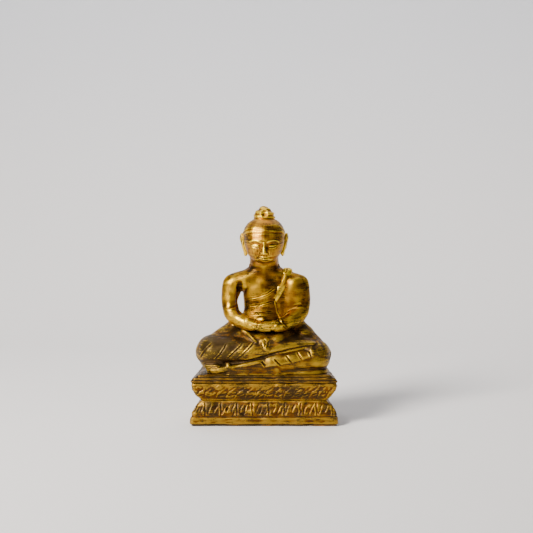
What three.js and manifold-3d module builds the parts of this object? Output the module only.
// A seated Buddha statue in meditation, carved in wood by the joined-block method, then lacquered and gilded.
// The pedestal is three boards and a black bottom board. The crossed legs, torso, head, topknot, ears, arms,
// hands and shoulder sash are carved apart and glued, and hidden dowels hold the larger joints.
// Millimetres, +Z up, the figure faces -Y. The origin is the centre of the underside.
// "right" and "left" are the figure's own, so its right side is at -X.
import * as THREE from 'three';
import { ConvexGeometry } from 'three/addons/geometries/ConvexGeometry.js';
import { mergeVertices } from 'three/addons/utils/BufferGeometryUtils.js';
import Module from 'manifold-3d';

const wasm = await Module();
wasm.setup();

// ---- Driving dimensions ----

const glueGap = 0.3; // glue line between two carved faces
const pinGap = 0.3; // round a dowel or tenon in its hole, and past its ends

const board = { thickness: 1.2, inset: 0.7 }; // black bottom board, set in from the plinth's edge
const plinth = {
  width: 82,
  depth: 40,
  backTaper: 4.5, // how much narrower the back is than the front, on each side
  footHeight: 4.3, // the plain upright band at the foot
  flareHeight: 8.4, // from the band up to the waist
  shoulderInset: 1.6, // how far the flare starts in from the foot
  waistInset: 6.2, // how far the waist lies in from the foot, on every side
};
const seatBlock = { flareHeight: 6.5, bandHeight: 3.4, overhang: 4.8 }; // overhang past the waist
const slab = { lipHeight: 2.8, lipOverhang: 0.9, bevelHeight: 1.8, sideBevel: 5, frontBevel: 2.2 };

const knee = { spread: 27.8, height: 9.6, width: 9.2, depth: 11, thickness: 9.9 };
const shin = { front: 12.6, thickness: 5.6 };
const hips = { halfWidth: 20, halfDepth: 10.5 };
const lapHeight = 21.3; // from the seat to the flat that the torso stands on

const waist = { halfWidth: 10.4, halfDepth: 7.4 };
const chest = { halfWidth: 13, halfDepth: 8 };
const torsoLength = 36; // from the lap's flat to the top of the shoulders
const shoulder = { spread: 16.8, radius: 6.3, slope: 4.6 }; // slope: how far they drop from the neck
const bodySetback = 2; // the torso's axis lies this far behind the pedestal's centre

const arm = { drop: 8.8, elbowRadius: 4.5, wristRadius: 2.9 };
const sleeveThickness = 1.2; // the robe makes the left arm this much thicker
const hand = { spacing: 6, front: 12.6, height: 5.8, thickness: 2.4 };

const neck = { radius: 7.1, length: 5, tenonRadius: 4, tenonLength: 7 };
const skull = { halfWidth: 11.2, halfDepth: 11.6, halfHeight: 11.4 };
const topknot = { radius: 5.7, height: 6.4 };
const ear = { thickness: 1.7, length: 13.4, width: 2.6 };
const sash = { width: 2.4, thickness: 1.7 };

const dowel = { radius: 1.4, bury: 5 }; // bury: how deep it goes into each of its two pieces
const stoutDowel = { radius: 2, bury: 6.5 }; // in the pedestal
const elbowDowel = { radius: 1.4, bury: 3.2 };

const roundSegments = 18;
const roundRings = 10;

// ---- Heights that follow from them ----

const plinthTop = board.thickness + plinth.footHeight + plinth.flareHeight;
const blockTop = plinthTop + seatBlock.flareHeight + seatBlock.bandHeight;
const seat = blockTop + slab.lipHeight + slab.bevelHeight; // the figure sits at this height
const lapTop = seat + lapHeight;
const shoulderTop = lapTop + torsoLength;
const shoulderHeight = shoulderTop - shoulder.slope - shoulder.radius;
const elbowHeight = shoulderHeight - arm.drop;
const handHeight = lapTop + hand.height;
const neckSeam = shoulderTop + 1.9;
const headHeight = neckSeam + neck.length + skull.halfHeight - 1.8;
const crown = headHeight + skull.halfHeight;

// ---- Solids: three.js geometry in, manifold-3d for joins and cuts, three.js geometry out ----

function solid(geometry) {
  const bare = geometry.clone();
  bare.deleteAttribute('normal');
  bare.deleteAttribute('uv');
  const merged = mergeVertices(bare, 1e-4);
  return new wasm.Manifold(new wasm.Mesh({
    numProp: 3,
    vertProperties: merged.attributes.position.array,
    triVerts: new Uint32Array(merged.index.array),
  }));
}

function node(name, piece, material) {
  const { vertProperties, triVerts } = piece.getMesh();
  const geometry = new THREE.BufferGeometry();
  geometry.setAttribute('position', new THREE.BufferAttribute(vertProperties, 3));
  geometry.setIndex(new THREE.BufferAttribute(triVerts, 1));
  geometry.computeVertexNormals();
  const mesh = new THREE.Mesh(geometry, material);
  mesh.name = name;
  return mesh;
}

const join = (pieces) => pieces.reduce((all, next) => all.add(next));
const cut = (piece, ...tools) => tools.reduce((left, tool) => left.subtract(tool), piece);

// Half of space: all that lies past `at` along an axis, on the side that `sign` gives.
function beyond(axis, sign, at) {
  const reach = 400;
  const place = new THREE.Vector3();
  place[axis] = at + sign * reach / 2;
  return solid(new THREE.BoxGeometry(reach, reach, reach).translate(place.x, place.y, place.z));
}

function rod(radius, from, to) {
  const start = new THREE.Vector3(...from);
  const along = new THREE.Vector3(...to).sub(start);
  const geometry = new THREE.CylinderGeometry(radius, radius, along.length(), roundSegments);
  geometry.translate(0, along.length() / 2, 0);
  geometry.applyQuaternion(
    new THREE.Quaternion().setFromUnitVectors(new THREE.Vector3(0, 1, 0), along.clone().normalize()));
  return solid(geometry.translate(start.x, start.y, start.z));
}

// A carved form is a list of masses. Each mass is the hull of one or more round lumps, and a lump is a
// centre and three half sizes. `grow` swells the whole form evenly, for cutting clearance in a neighbour.
const lump = (at, half) => ({ at, half });
const mirror = ({ at: [x, y, z], half }) => lump([-x, y, z], half);

function lumpPoints({ at, half }, grow) {
  const ball = new THREE.SphereGeometry(1, roundSegments, roundRings);
  ball.rotateX(Math.PI / 2).scale(...half.map((h) => h + grow)).translate(...at);
  const { position } = mergeVertices(ball.deleteAttribute('normal').deleteAttribute('uv')).attributes;
  return Array.from({ length: position.count }, (_, i) => new THREE.Vector3().fromBufferAttribute(position, i));
}

function form(masses, grow = 0) {
  return join(masses.map((lumps) =>
    solid(new ConvexGeometry(lumps.flatMap((one) => lumpPoints(one, grow))))));
}

// A limb or a strap: each lump is joined to the next.
const chain = (lumps) => lumps.slice(1).map((next, i) => [lumps[i], next]);

// A pedestal board: outlines of growing height, each [z, half width at the front, half depth], joined into a
// block. They all narrow towards the back.
function steppedBlock(levels) {
  const taper = plinth.backTaper;
  const corners = levels.flatMap(([z, w, d]) => [-w, -d, z, w, -d, z, w - taper, d, z, -w + taper, d, z]);
  const faces = [0, 2, 1, 0, 3, 2];
  for (let level = 0; level + 1 < levels.length; level += 1) {
    for (let side = 0; side < 4; side += 1) {
      const a = level * 4 + side;
      const b = level * 4 + (side + 1) % 4;
      faces.push(a, b, b + 4, a, b + 4, a + 4);
    }
  }
  const top = (levels.length - 1) * 4;
  faces.push(top, top + 1, top + 2, top, top + 2, top + 3);
  const geometry = new THREE.BufferGeometry();
  geometry.setAttribute('position', new THREE.Float32BufferAttribute(corners, 3));
  geometry.setIndex(faces);
  return solid(geometry);
}

// ---- Dowels ----

function dowelAcross(name, size, at, axis) {
  const direction = new THREE.Vector3();
  direction[axis] = 1;
  const end = (reach) => new THREE.Vector3(...at).addScaledVector(direction, reach).toArray();
  return {
    name,
    pin: rod(size.radius, end(-size.bury), end(size.bury)),
    hole: rod(size.radius + pinGap, end(-size.bury - pinGap), end(size.bury + pinGap)),
  };
}

const seatDowelX = hips.halfWidth * 0.6;
const plinthDowelX = plinth.width * 0.3;
const shoulderSeam = shoulder.spread - 3.4;
const elbowX = shoulder.spread + 2.6;
const dowels = {};
for (const [side, sign] of [['right', -1], ['left', 1]]) {
  dowels[`${side}Plinth`] = dowelAcross(
    `${side}_plinth_dowel`, stoutDowel, [sign * plinthDowelX, 0, plinthTop], 'z');
  dowels[`${side}Seat`] = dowelAcross(
    `${side}_seat_dowel`, stoutDowel, [sign * seatDowelX, 2, seat - slab.lipHeight / 2], 'z');
  dowels[`${side}Waist`] = dowelAcross(
    `${side}_waist_dowel`, dowel, [sign * waist.halfWidth * 0.5, bodySetback + 1, lapTop], 'z');
  dowels[`${side}Shoulder`] = dowelAcross(
    `${side}_shoulder_dowel`, dowel, [sign * shoulderSeam, bodySetback, shoulderHeight - 0.5], 'x');
  dowels[`${side}Elbow`] = dowelAcross(
    `${side}_elbow_dowel`, elbowDowel, [sign * elbowX, 0.2, elbowHeight], 'z');
}
dowels.topknot = dowelAcross('topknot_peg', { radius: dowel.radius, bury: topknot.height * 0.6 }, [0.2, 1, crown], 'z');

// ---- Pedestal ----

function bottomBoard() {
  const halfWidth = plinth.width / 2 - board.inset;
  const halfDepth = plinth.depth / 2 - board.inset;
  return steppedBlock([[0, halfWidth, halfDepth], [board.thickness - 0.02, halfWidth, halfDepth]]);
}

// A board that widens evenly in steps along a quarter wave, from one inset to another.
const flareSteps = 5;
function flare(bottom, top, insetBelow, insetAbove, bulge) {
  return Array.from({ length: flareSteps + 1 }, (_, i) => {
    const rise = i / flareSteps;
    const turn = rise ** bulge;
    const inset = insetBelow + (insetAbove - insetBelow) * turn;
    return [bottom + (top - bottom) * rise, plinth.width / 2 - inset, plinth.depth / 2 - inset];
  });
}

function lowerPlinth() {
  const bandTop = board.thickness + plinth.footHeight;
  return cut(
    steppedBlock([
      [board.thickness, plinth.width / 2, plinth.depth / 2],
      ...flare(bandTop, plinthTop, plinth.shoulderInset, plinth.waistInset, 1.7),
    ]),
    dowels.rightPlinth.hole, dowels.leftPlinth.hole);
}

const bandInset = plinth.waistInset - seatBlock.overhang;
function upperPlinth() {
  const foot = plinthTop + 0.02;
  const levels = flare(foot, foot + seatBlock.flareHeight, plinth.waistInset, bandInset, 0.6);
  const [, halfWidth, halfDepth] = levels.at(-1);
  return cut(
    steppedBlock([...levels, [blockTop - 0.02, halfWidth, halfDepth]]),
    dowels.rightPlinth.hole, dowels.leftPlinth.hole, dowels.rightSeat.hole, dowels.leftSeat.hole);
}

const slabHalfWidth = plinth.width / 2 - bandInset + slab.lipOverhang;
const slabHalfDepth = plinth.depth / 2 - bandInset + slab.lipOverhang;
function seatSlab() {
  return cut(
    steppedBlock([
      [blockTop, slabHalfWidth - slab.lipOverhang, slabHalfDepth - slab.lipOverhang],
      [blockTop + slab.lipHeight * 0.4, slabHalfWidth, slabHalfDepth],
      [blockTop + slab.lipHeight, slabHalfWidth, slabHalfDepth],
      [seat - 0.02, slabHalfWidth - slab.sideBevel, slabHalfDepth - slab.frontBevel],
    ]),
    dowels.rightSeat.hole, dowels.leftSeat.hole);
}

// ---- Figure: the carved forms ----

const legsForm = [
  // right thigh and left thigh, from the hip out to the knee
  [
    lump([-10, 4, seat + 16.4], [10.5, 10, 9.6]),
    lump([-knee.spread, -3.4, seat + knee.height], [knee.width, knee.depth, knee.thickness]),
  ],
  [
    lump([10, 4, seat + 16.4], [10.5, 10, 9.6]),
    lump([knee.spread - 0.6, -3.4, seat + knee.height - 0.6], [knee.width, knee.depth, knee.thickness - 0.4]),
  ],
  // the hips, and the lap between the thighs
  [lump([0, 5, seat + 10.5], [hips.halfWidth, hips.halfDepth, 12])],
  [lump([0, 4.4, seat + 4], [hips.halfWidth + 5, hips.halfDepth, 6])],
  [lump([0, -5, seat + 15.4], [14, 9.5, 8.2]), lump([0, -5, seat + 7], [14, 9, 6])],
  [lump([-14, -4, seat + 9], [9, 10, 6.5]), lump([14, -4, seat + 9], [9, 10, 6.5])],
  // left shin, underneath, with its foot out at the right knee
  ...chain([
    lump([knee.spread - 1, -6, seat + 6.8], [8.6, 9.4, 8.4]),
    lump([-10, -shin.front + 1, seat + 4], [6, 5.4, 6]),
    lump([-knee.spread + 2.6, -9.6, seat + 2.4], [6.4, 7, 5]),
  ]),
  // right shin, on top, with its foot on the left thigh
  ...chain([
    lump([-knee.spread + 1.6, -5.6, seat + 11], [9.2, 9.4, 8]),
    lump([-4, -shin.front + 1, seat + 13.6], [7, 5.4, shin.thickness]),
    lump([knee.spread - 8, -10.4, seat + 15.6], [3.4, 4.2, 2.8]),
  ]),
];

const shoulderLump = lump(
  [-shoulder.spread + 0.4, bodySetback, shoulderHeight - 0.6],
  [shoulder.radius, shoulder.radius, shoulder.radius - 0.6]);
const torsoForm = [
  [lump([0, bodySetback - 0.5, lapTop + 6], [waist.halfWidth + 1, waist.halfDepth + 1, 8.5])],
  [
    lump([0, bodySetback, lapTop + 10], [waist.halfWidth, waist.halfDepth, 7]),
    lump([0, bodySetback, shoulderHeight - 4], [chest.halfWidth, chest.halfDepth, 7.5]),
  ],
  [
    shoulderLump, mirror(shoulderLump),
    lump([0, bodySetback, shoulderHeight - 4], [chest.halfWidth, chest.halfDepth, 7.5]),
    lump([0, bodySetback + 0.4, shoulderTop - 0.6], [neck.radius + 0.6, 5.6, 3.2]),
  ],
  // the robe hangs from the left shoulder and closes the space inside that arm
  [
    lump([9, bodySetback + 1, shoulderHeight - 5], [5, 4.4, 6]),
    lump([9, bodySetback + 1, lapTop + 8], [5, 4.8, 6]),
    lump([elbowX - 2, bodySetback + 0.5, elbowHeight - 1], [3.5, 3.6, 5]),
  ],
];

function upperArmForm(side, thicker) {
  const r = arm.elbowRadius + thicker;
  return [[
    lump([side * (shoulder.spread + 0.2), bodySetback, shoulderHeight],
      [shoulder.radius + thicker - 0.2, shoulder.radius, 6]),
    lump([side * (elbowX + 0.2 + thicker), 1.4, elbowHeight], [r + 0.1, r + 0.9, 5]),
  ]];
}

// The left sleeve spreads from the arm to the robe on the torso, above and below the elbow's glue line.
const sleeveForm = [
  [
    lump([shoulderSeam + 2.6, bodySetback + 0.6, shoulderHeight - 4], [4, 4.2, 4]),
    lump([elbowX - 3.4, bodySetback + 0.4, elbowHeight], [4.4, 3.6, 4]),
  ],
  [
    lump([elbowX - 3.4, bodySetback + 0.2, elbowHeight], [4.4, 3.6, 5]),
    lump([elbowX - 4, bodySetback - 1, lapTop + hand.height + 1], [5, 3.4, 5]),
  ],
];

function forearmForm(side, thicker) {
  const r = arm.elbowRadius + thicker;
  return chain([
    lump([side * (elbowX + 0.2 + thicker), 0.6, elbowHeight - 0.4], [r + 0.2, r + 0.9, 5.4]),
    lump([side * (elbowX - 2.4), -4.6, handHeight + 3.6], [r - 0.3, r, r - 0.2]),
    lump([side * (hand.spacing + 6), -11, handHeight + 0.8],
      [arm.wristRadius + 0.8, arm.wristRadius + 0.7, arm.wristRadius + 0.4]),
    lump([side * (hand.spacing + 1), -hand.front + 0.2, handHeight],
      [arm.wristRadius, arm.wristRadius, arm.wristRadius - 0.2]),
  ]);
}

const handForms = {
  right: chain([
    lump([-hand.spacing - 1, -hand.front, handHeight + 1.2], [3.6, 3.8, hand.thickness]),
    lump([hand.spacing - 2, -hand.front - 0.6, handHeight + 0.6], [3.4, 3.4, hand.thickness * 0.7]),
  ]),
  left: chain([
    lump([hand.spacing + 1.4, -hand.front, handHeight - 0.6], [3.6, 4, hand.thickness]),
    lump([-hand.spacing + 2, -hand.front - 0.8, handHeight - 2.2], [3.4, 3.4, hand.thickness * 0.7]),
  ]),
};

const headForm = [
  [
    lump([0, -0.5, headHeight], [skull.halfWidth, skull.halfDepth, skull.halfHeight]),
    lump([0, -3.6, headHeight - skull.halfHeight + 4], [8.2, 8, 5.6]),
  ],
  [
    lump([0, bodySetback, neckSeam - 1], [neck.radius, neck.radius - 0.6, 3]),
    lump([0, bodySetback - 1.4, neckSeam + neck.length], [neck.radius - 0.2, neck.radius - 0.4, 4]),
  ],
];

const topknotForm = [[
  lump([0, 1, crown - 0.6], [topknot.radius, topknot.radius, 2.6]),
  lump([0, 1, crown], [topknot.radius - 0.4, topknot.radius - 0.4, topknot.height]),
]];

function earForm(side) {
  const reach = skull.halfWidth + 0.7;
  return chain([
    lump([side * reach, 1.6, headHeight + ear.length / 2 - 5.6], [ear.thickness, ear.width, 2.9]),
    lump([side * (reach - 0.4), 1.2, headHeight - 2.6], [ear.thickness - 0.2, ear.width - 0.6, 2.6]),
    lump([side * (reach - 1.6), 0.8, headHeight - ear.length / 2 - 1.6], [ear.thickness - 0.2, ear.width - 1, 2]),
  ]);
}

// The folded sash lies over the left shoulder and narrows down the chest.
const sashX = shoulder.spread - 3.8;
const sashForm = chain([
  lump([sashX, bodySetback + 6, shoulderHeight - 2], [sash.width, sash.thickness, 2.6]),
  lump([sashX + 0.2, bodySetback + 4.8, shoulderHeight + 4.4], [sash.width, sash.thickness + 0.8, 2]),
  lump([sashX + 0.2, bodySetback + 0.6, shoulderHeight + 7.2], [sash.width, 3, sash.thickness + 0.4]),
  lump([sashX - 0.4, bodySetback - 4.2, shoulderHeight + 4.6], [sash.width, sash.thickness + 0.8, 2.2]),
  lump([chest.halfWidth - 3, bodySetback - chest.halfDepth + 1.2, shoulderHeight - 1],
    [sash.width * 0.9, sash.thickness + 0.4, 2]),
  lump([chest.halfWidth - 7, bodySetback - chest.halfDepth + 0.2, shoulderHeight - 8],
    [sash.width * 0.5, sash.thickness, 2]),
]);

// ---- Figure: the pieces, each cut clear of what it is glued to ----

const armSides = { right: { sign: -1, thicker: 0 }, left: { sign: 1, thicker: sleeveThickness } };
const seamCut = (sign, past) => beyond('x', past * sign, sign * (shoulderSeam - past * glueGap / 2));

function torso() {
  return cut(form(torsoForm),
    beyond('z', -1, lapTop), beyond('z', 1, neckSeam - glueGap),
    seamCut(-1, 1), seamCut(1, 1), neckSocket(),
    dowels.rightWaist.hole, dowels.leftWaist.hole, dowels.rightShoulder.hole, dowels.leftShoulder.hole);
}

// The torso's own volume and the glue line round it: as far as the shoulder seams, and down to the flat
// that it stands on.
const torsoClear = cut(form(torsoForm, glueGap),
  beyond('x', 1, shoulderSeam + glueGap / 2), beyond('x', -1, -shoulderSeam - glueGap / 2));
const torsoBed = cut(torsoClear, beyond('z', -1, lapTop - 0.02));
const legsClear = form(legsForm, glueGap);

function crossedLegs() {
  return cut(form(legsForm), beyond('z', -1, seat), torsoBed,
    dowels.rightSeat.hole, dowels.leftSeat.hole, dowels.rightWaist.hole, dowels.leftWaist.hole);
}

function wholeArm(side) {
  const { sign, thicker } = armSides[side];
  const bare = [...upperArmForm(sign, thicker), ...forearmForm(sign, thicker)];
  return cut(form(side === 'left' ? [...bare, ...sleeveForm] : bare), torsoClear, legsClear);
}

function upperArm(side) {
  return cut(wholeArm(side),
    seamCut(armSides[side].sign, -1), beyond('z', -1, elbowHeight + glueGap / 2),
    dowels[`${side}Shoulder`].hole, dowels[`${side}Elbow`].hole);
}

const wristSeam = hand.spacing + 1.2;
function forearm(side) {
  const { sign } = armSides[side];
  return cut(wholeArm(side),
    beyond('z', 1, elbowHeight - glueGap / 2), beyond('x', -sign, sign * (wristSeam + glueGap / 2)),
    wristTenon(side, pinGap), dowels[`${side}Elbow`].hole);
}

// Each hand ends in a round tenon that goes into its forearm.
function wristTenon(side, grow) {
  const { sign } = armSides[side];
  const height = handHeight + (side === 'right' ? 1 : 0);
  return rod(1.1 + grow, [sign * (wristSeam - 2), -hand.front, height],
    [sign * (wristSeam + 3.4 + grow), -hand.front, height]);
}

function handPiece(side, other) {
  const { sign } = armSides[side];
  const palm = cut(form(handForms[side]), beyond('x', sign, sign * (wristSeam - glueGap / 2)));
  return cut(palm.add(wristTenon(side, 0)), torsoClear, legsClear, other);
}

function rightHand() {
  return handPiece('right', beyond('x', 1, wristSeam - glueGap / 2));
}

// The left hand lies under the right one.
function leftHand() {
  return handPiece('left', form(handForms.right, glueGap).add(beyond('x', -1, -wristSeam + glueGap / 2)));
}

function neckSocket() {
  return rod(neck.tenonRadius + pinGap,
    [0, bodySetback, neckSeam - neck.tenonLength - pinGap], [0, bodySetback, neckSeam + 1]);
}

function head() {
  const carved = cut(form(headForm), beyond('z', -1, neckSeam));
  const tenon = rod(neck.tenonRadius,
    [0, bodySetback, neckSeam - neck.tenonLength], [0, bodySetback, neckSeam + 2]);
  return cut(carved.add(tenon), dowels.topknot.hole);
}

const topknotPiece = () => cut(form(topknotForm), form(headForm, glueGap), dowels.topknot.hole);
const earPiece = (side) => cut(form(earForm(armSides[side].sign)), form(headForm, glueGap));

function shoulderSash() {
  const { sign, thicker } = armSides.left;
  return cut(form(sashForm), form(torsoForm, glueGap), form(upperArmForm(sign, thicker), glueGap),
    form([sleeveForm[0]], glueGap), form(headForm, glueGap));
}

// ---- Materials and assembly ----

const gilding = new THREE.MeshStandardMaterial({ color: 0xc8892b, roughness: 0.38, metalness: 1 });
const darkGilding = new THREE.MeshStandardMaterial({ color: 0xa8701f, roughness: 0.5, metalness: 1 });
const blackLacquer = new THREE.MeshStandardMaterial({ color: 0x16110c, roughness: 0.6, metalness: 0 });
const bareWood = new THREE.MeshStandardMaterial({ color: 0x9a6b3f, roughness: 0.8, metalness: 0 });

const statue = new THREE.Group();
statue.add(
  node('bottom_board', bottomBoard(), blackLacquer),
  node('lower_plinth', lowerPlinth(), darkGilding),
  node('upper_plinth', upperPlinth(), darkGilding),
  node('seat_slab', seatSlab(), darkGilding),
  node('crossed_legs', crossedLegs(), gilding),
  node('torso', torso(), gilding),
  node('head', head(), gilding),
  node('topknot', topknotPiece(), gilding),
  node('shoulder_sash', shoulderSash(), gilding),
  node('right_hand', rightHand(), gilding),
  node('left_hand', leftHand(), gilding),
);
for (const side of ['right', 'left']) {
  statue.add(
    node(`${side}_upper_arm`, upperArm(side), gilding),
    node(`${side}_forearm`, forearm(side), gilding),
    node(`${side}_ear`, earPiece(side), gilding),
  );
}
for (const { name, pin } of Object.values(dowels)) statue.add(node(name, pin, bareWood));

export default statue;
